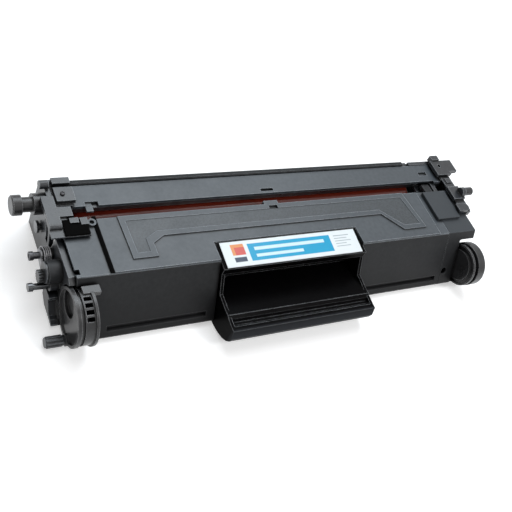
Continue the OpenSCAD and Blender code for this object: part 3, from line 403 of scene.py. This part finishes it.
def coated_drum(name):
    look, tree, shader = new_finish(name)
    drift, fac = noise_map(tree, 20, 2, 0, 1, (0.3, 1, 1))
    tone = mix_tones(tree, drift, (0.10, 0.010, 0.006), (0.17, 0.022, 0.011))
    # Painted shade: the coating is darkened where the drum lies in a hollow.
    tone = mix_tones(tree, openness(tree, 3.0 * MM), (0.03, 0.004, 0.003), tone)
    tree.links.new(tone, shader.inputs["Base Color"])
    gloss, _ = noise_map(tree, 80, 3, 0.14, 0.22)
    tree.links.new(gloss, shader.inputs["Roughness"])
    shader.inputs["Specular IOR Level"].default_value = 0.35
    shader.inputs["Coat Weight"].default_value = 0.25
    shader.inputs["Coat Roughness"].default_value = 0.06
    return look


# %% [markdown]
# ## The label
# The real label is printed film. Here it carries plain fields of colour instead of words: a
# blue band with two pale bars, a small square of warm tones on a dark foot, and a few grey
# bars at the right. Each field is a rectangle in the label's own plane, made from the object
# coordinates by a little arithmetic, with edges as soft as ink.


# %% Print the label
def field(tree, x0, x1, y0, y1, soft=0.12):
    place = tree.nodes.new("ShaderNodeTexCoord")
    split = tree.nodes.new("ShaderNodeSeparateXYZ")
    tree.links.new(place.outputs["Object"], split.inputs[0])
    inside = None
    for axis, low, high in (("X", x0, x1), ("Y", y0, y1)):
        for start, end in ((low - soft, low + soft), (high + soft, high - soft)):
            step = tree.nodes.new("ShaderNodeMapRange")
            step.inputs["From Min"].default_value = start * MM
            step.inputs["From Max"].default_value = end * MM
            tree.links.new(split.outputs[axis], step.inputs["Value"])
            side = step.outputs["Result"]
            inside = side if inside is None else math_node(tree, "MULTIPLY", inside, side)
    return inside


PRINT = [
    ((-30.5, 27.5, -2.6, 8.6), (0.004, 0.36, 0.62)),
    ((-26.5, 22.5, 4.0, 6.2), (0.66, 0.87, 0.93)),
    ((-26.5, 6.0, -0.4, 1.6), (0.66, 0.87, 0.93)),
    ((-41.5, -33.0, 2.0, 9.0), (0.78, 0.30, 0.10)),
    ((-39.5, -33.0, 2.0, 7.0), (0.66, 0.10, 0.08)),
    ((-41.2, -33.4, -2.4, 0.6), (0.03, 0.05, 0.09)),
    ((30.5, 42.0, 7.2, 7.8), (0.42, 0.48, 0.52)),
    ((30.5, 40.0, 5.4, 5.9), (0.42, 0.48, 0.52)),
    ((30.5, 42.5, 3.6, 4.1), (0.42, 0.48, 0.52)),
    ((30.5, 38.5, 1.8, 2.3), (0.42, 0.48, 0.52)),
    ((30.5, 41.0, 0.0, 0.5), (0.42, 0.48, 0.52)),
]


def printed_label(name):
    look, tree, shader, tone = moulded_plastic(
        name, (0.80, 0.86, 0.88), (0.86, 0.91, 0.93), (0.28, 0.36), 0.4, (0.9, 0.93, 0.95),
        depth=0.03, corner=0.8)
    for (x0, x1, y0, y1), ink in PRINT:
        tone = mix_tones(tree, field(tree, x0, x1, y0, y1), tone, ink)
    tree.links.new(tone, shader.inputs["Base Color"])
    return look


# %% [markdown]
# ## The finishes and where they go
# Each part of the record names its material slot. The table below gives every slot its finish: the
# black housings differ a little in tone and gloss, as parts from different moulds do, and the grip is
# the darkest and smoothest of them, its darkness partly painted shade.

# %% Give every part its finish
SATIN = ((0.028, 0.036, 0.044), (0.042, 0.052, 0.062), (0.36, 0.46), 0.5, (0.42, 0.46, 0.50), 0.04)
SIDES = ((0.012, 0.0125, 0.0135), (0.022, 0.023, 0.025), (0.44, 0.56), 0.22, (0.22, 0.23, 0.24), 0.03)
# Grip: black plastic, darkened further as painted shade.
GRIP_BLACK_AND_SHADE = ((0.0008, 0.0007, 0.0009), (0.0018, 0.0016, 0.0018), (0.30, 0.40), 0.02, (0.30, 0.31, 0.32),
        0.002)
FOAM_AND_SHADE = ((0.0015, 0.0015, 0.0015), (0.004, 0.004, 0.004), (0.85, 0.95), 0.03, (0.01, 0.01, 0.01))
FRAMES = ((0.008, 0.009, 0.011), (0.018, 0.020, 0.024), (0.26, 0.36), 0.5, (0.40, 0.43, 0.46), 0.03)
CAPS = ((0.006, 0.006, 0.007), (0.016, 0.016, 0.017), (0.24, 0.34), 0.5, (0.30, 0.30, 0.31), 0.03)
RAIL = ((0.004, 0.0045, 0.005), (0.010, 0.011, 0.012), (0.46, 0.58), 0.2, (0.16, 0.17, 0.18), 0.03)
GEARS = ((0.020, 0.020, 0.021), (0.035, 0.035, 0.035), (0.35, 0.45), 0.4, (0.10, 0.10, 0.10))
FINISHES = {
    "housing_plastic": toe_shade(*moulded_plastic("moulded housing", *SIDES)),
    "panel_plastic": grained_field(*moulded_plastic("satin panel", *SATIN)),
    "grip_plastic": grip_wall_highlight(*moulded_plastic("black grip", *GRIP_BLACK_AND_SHADE, depth=0.03)),
    "frame_plastic": moulded_plastic("dark frame", *FRAMES)[0],
    "cap_plastic": moulded_plastic("cap plastic", *CAPS)[0],
    "guide_plastic": moulded_plastic("guide plastic", *CAPS)[0],
    "gear_plastic": moulded_plastic("dark acetal", *GEARS)[0],
    "agitator_film": moulded_plastic(
        "polyester film", (0.35, 0.45, 0.50), (0.42, 0.52, 0.57), (0.12, 0.22), 0.5,
        (0.5, 0.6, 0.65))[0],
    "label_film": printed_label("printed label"),
    "magnet": moulded_plastic(
        "bonded ferrite", (0.03, 0.03, 0.03), (0.05, 0.05, 0.048), (0.5, 0.65), 0.3)[0],
    "blade_rubber": moulded_plastic(
        "amber polyurethane", (0.12, 0.07, 0.03), (0.18, 0.11, 0.05), (0.30, 0.45), 0.5,
        (0.2, 0.13, 0.07))[0],
    "roller_rubber": moulded_plastic(
        "roller rubber", (0.008, 0.008, 0.009), (0.015, 0.015, 0.016), (0.60, 0.75), 0.2,
        (0.03, 0.03, 0.03))[0],
    # Painted reflection: the pins' steel is darkened to show dark surroundings mirrored in it.
    "pin_steel": ground_metal("steel darkened by painted reflection", (0.05, 0.052, 0.055), (0.14, 0.145, 0.15), (0.16, 0.26)),
    "bracket_steel": ground_metal(
        "plated sheet steel", (0.42, 0.43, 0.44), (0.55, 0.56, 0.57), (0.28, 0.42)),
    "contact_metal": ground_metal(
        "dull contact", (0.22, 0.22, 0.23), (0.34, 0.34, 0.35), (0.35, 0.5)),
    "dark_screw": ground_metal(
        "black screw", (0.05, 0.05, 0.055), (0.10, 0.10, 0.105), (0.30, 0.42)),
    "sleeve_aluminium": ground_metal(
        "blasted sleeve", (0.10, 0.10, 0.105), (0.15, 0.15, 0.155), (0.45, 0.6)),
    "drum_coating": coated_drum("drum coating"),
}

for part in frame["record"]["subparts"]:
    mesh = nodes[part["node"]].data
    mesh.materials.clear()
    mesh.materials.append(FINISHES[part["material_slot"]])
rail = nodes["rear_rail"].data
rail.materials.clear()
rail.materials.append(moulded_plastic("rail plastic", *RAIL)[0])
print("finishes", len(FINISHES))

# %% [markdown]
# ## Small parts
# The ends of a cartridge are busy with springs, screws, tapes and seals that the construction
# leaves out. They are modelled here one by one. Every piece starts from a primitive, is shaped
# in edit mode, and ends with its place applied to its mesh, so that its pattern stays with it.
# Two helpers do what every piece needs: one selects faces or edges by a test on their place,
# the other applies the place, smooths the shading, gives the finish, and lets the piece ride
# on its body.

# %% Helpers for modelling
import bmesh


def begin():
    if bpy.context.object and bpy.context.object.mode != "OBJECT":
        bpy.ops.object.mode_set(mode="OBJECT")
    bpy.ops.object.select_all(action="DESELECT")


def pick(kind, test):
    """In edit mode, selects the faces, edges or vertices whose middle passes the test."""
    bpy.ops.mesh.select_mode(type={"faces": "FACE", "edges": "EDGE", "verts": "VERT"}[kind])
    bpy.ops.mesh.select_all(action="DESELECT")
    mesh = bmesh.from_edit_mesh(bpy.context.object.data)
    found = 0
    for part in getattr(mesh, kind):
        if kind == "faces":
            middle = part.calc_center_median()
        elif kind == "edges":
            middle = (part.verts[0].co + part.verts[1].co) / 2
        else:
            middle = part.co
        if test(middle, part):
            part.select_set(True)
            found += 1
    mesh.select_flush_mode()
    bmesh.update_edit_mesh(bpy.context.object.data)
    return found


def settle(name, body, slot, angle=35, look=None):
    obj = bpy.context.object
    if obj.mode != "OBJECT":
        bpy.ops.object.mode_set(mode="OBJECT")
    obj.name = name
    obj.data.name = name
    bpy.ops.object.transform_apply(location=True, rotation=True, scale=True)
    bpy.ops.object.mode_set(mode="EDIT")
    bpy.ops.mesh.select_all(action="SELECT")
    bpy.ops.mesh.remove_doubles(threshold=0.00001)
    bpy.ops.mesh.normals_make_consistent(inside=False)
    bpy.ops.object.mode_set(mode="OBJECT")
    bpy.ops.object.shade_smooth_by_angle(angle=math.radians(angle))
    obj.data.materials.clear()
    obj.data.materials.append(look or FINISHES[slot])
    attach(obj, body)
    print(name, len(obj.data.polygons), "faces on", body)
    obj.select_set(False)
    return obj


# %% [markdown]
# ## Springs
# A helical spring is a round wire section carried round an axis while it climbs. The Screw
# modifier does just that to a small circle. The two ends are then extruded into straight legs
# and closed. The torsion spring sits round the boss of the contact lever and presses the
# lever against its contact.


# %% Wind the springs
def wind_spring(name, start, axis, coil, wire, pitch, turns, legs, body, slot):
    begin()
    bpy.ops.mesh.primitive_circle_add(
        vertices=10, radius=wire * MM, location=(coil * MM, 0, 0), rotation=(math.pi / 2, 0, 0))
    obj = bpy.context.object
    bpy.ops.object.transform_apply(location=True, rotation=True, scale=True)
    screw = obj.modifiers.new("coil", "SCREW")
    screw.axis = "Z"
    screw.screw_offset = pitch * MM
    screw.iterations = turns
    screw.steps = screw.render_steps = 24
    bpy.ops.object.modifier_apply(modifier="coil")
    bpy.ops.object.mode_set(mode="EDIT")
    top = turns * pitch * MM
    near = (wire * 1.3) * MM
    for height, leg in ((0.0, legs[0]), (top, legs[1])):
        here = Vector((coil * MM, 0, height))
        pick("verts", lambda c, v: (c - here).length < near and abs(c.y) < 0.00001)
        bpy.ops.mesh.extrude_region_move(
            TRANSFORM_OT_translate={"value": [c * MM for c in leg]})
    bpy.ops.mesh.select_all(action="SELECT")
    bpy.ops.mesh.fill_holes(sides=0)
    bpy.ops.object.mode_set(mode="OBJECT")
    obj.rotation_euler = axis
    obj.location = [c * MM for c in start]
    return settle(name, body, slot)


ALONG_X = (0, math.pi / 2, 0)
wind_spring("lever_spring", (-141.7, 27.0, 21.0), ALONG_X, 4.5, 0.45, 1.05, 4,
            ((0, -6.5, 0), (0, 6.0, 0)), "toner_unit", "contact_metal")

# %% [markdown]
# ## Screws
# The end covers are held by small pan-head screws. The head is a short cylinder whose upper
# rim is bevelled into a dome. The cross is cut by a Boolean with two crossed bars, and the
# cutter is deleted afterwards.


# %% Turn the screws
def pan_screw(name, place, axis, radius, body):
    begin()
    bpy.ops.mesh.primitive_cylinder_add(vertices=28, radius=radius * MM, depth=1.6 * MM)
    head = bpy.context.object
    bpy.ops.object.mode_set(mode="EDIT")
    pick("edges", lambda c, e: all(v.co.z > 0.7 * MM for v in e.verts))
    bpy.ops.mesh.bevel(offset=0.7 * MM, segments=3, affect="EDGES")
    bpy.ops.object.mode_set(mode="OBJECT")
    begin()
    for turn in (0.0, math.pi / 2):
        bpy.ops.mesh.primitive_cube_add(size=1, rotation=(0, 0, turn), location=(0, 0, 0.8 * MM))
        bar = bpy.context.object
        bar.scale = (1.2 * radius * MM, 0.28 * radius * MM, 1.0 * MM)
        bpy.ops.object.transform_apply(location=True, rotation=True, scale=True)
        cut = head.modifiers.new("cross", "BOOLEAN")
        cut.operation = "DIFFERENCE"
        cut.object = bar
        bpy.context.view_layer.objects.active = head
        bpy.ops.object.modifier_apply(modifier="cross")
        bpy.data.objects.remove(bar, do_unlink=True)
    begin()
    head.select_set(True)
    bpy.context.view_layer.objects.active = head
    head.rotation_euler = axis
    head.location = [c * MM for c in place]
    return settle(name, body, "dark_screw")


FACING_LEFT = (0, -math.pi / 2, 0)
FACING_RIGHT = (0, math.pi / 2, 0)
pan_screw("left_cover_screw", (-137.0, 24.0, 9.5), FACING_LEFT, 2.4, "toner_unit")
pan_screw("right_cover_screw", (147.4, 10.0, 30.0), FACING_RIGHT, 2.4, "toner_unit")
pan_screw("plate_screw", (-127.9, 50.7, 41.9), (0, 0, 0), 1.3, "drum_unit")

# %% [markdown]
# ## Seals and tapes
# Toner is finer than flour, so every joint in the housing gets a strip of foam or tape. The black
# strip along the left seam of the panel is painted shade: a dark strip laid where the seam's step
# lies in shade, and the black block on the left catch is painted shade in the same way. The strip
# starts as a flat block. It is cut across into many short lengths, its long edges are rounded, and
# every other ring is drawn in a little, which is how foam looks where it was pressed in by hand.


# %% Lay the foam strips and the black strips of painted shade
foam_and_shade_black = moulded_plastic("seal foam and painted shade", *FOAM_AND_SHADE)[0]


def black_strip(name, low, high, cuts, pinch, body):
    begin()
    bpy.ops.mesh.primitive_cube_add(size=1, location=[(a + b) / 2 * MM for a, b in zip(low, high)])
    obj = bpy.context.object
    obj.scale = [(b - a) * MM for a, b in zip(low, high)]
    bpy.ops.object.transform_apply(location=True, rotation=True, scale=True)
    size = [b - a for a, b in zip(low, high)]
    longest = size.index(max(size))
    bpy.ops.object.mode_set(mode="EDIT")
    for step in range(1, cuts):
        where = [0, 0, 0]
        where[longest] = (low[longest] + size[longest] * step / cuts) * MM
        facing = [0, 0, 0]
        facing[longest] = 1
        bpy.ops.mesh.select_all(action="SELECT")
        bpy.ops.mesh.bisect(plane_co=where, plane_no=facing)
    pick("edges", lambda c, e: abs((e.verts[0].co - e.verts[1].co).normalized()[longest]) > 0.9)
    bpy.ops.mesh.bevel(offset=0.25 * min(size) * MM, segments=2, affect="EDGES")
    for step in range(1, cuts, 2):
        at = (low[longest] + size[longest] * step / cuts) * MM
        pick("verts", lambda c, v: abs(c[longest] - at) < 0.00005)
        squeeze = [pinch, pinch, pinch]
        squeeze[longest] = 1
        bpy.ops.transform.resize(value=squeeze)
    return settle(name, body, "roller_rubber", 40, foam_and_shade_black)


# Painted shade: a black strip where the seam's step lies in shade.
black_strip("seam_shade_strip", (-115.1, -0.3, 37.0), (-112.7, 37.0, 37.72), 16, 0.97, "toner_unit")
# Painted shade: a black block over the shaded front of the catch.
black_strip("catch_shade_block", (-132.6, 24.2, 38.9), (-119.4, 34.4, 40.4), 9, 0.985, "drum_unit")
black_strip("left_gap_seal", (-132.9, 8.0, 33.0), (-126.5, 33.0, 34.2), 10, 0.98, "toner_unit")
black_strip("right_gap_seal", (144.2, 30.0, 20.0), (145.2, 46.5, 35.2), 10, 0.98, "toner_unit")

# %% Import json
import json
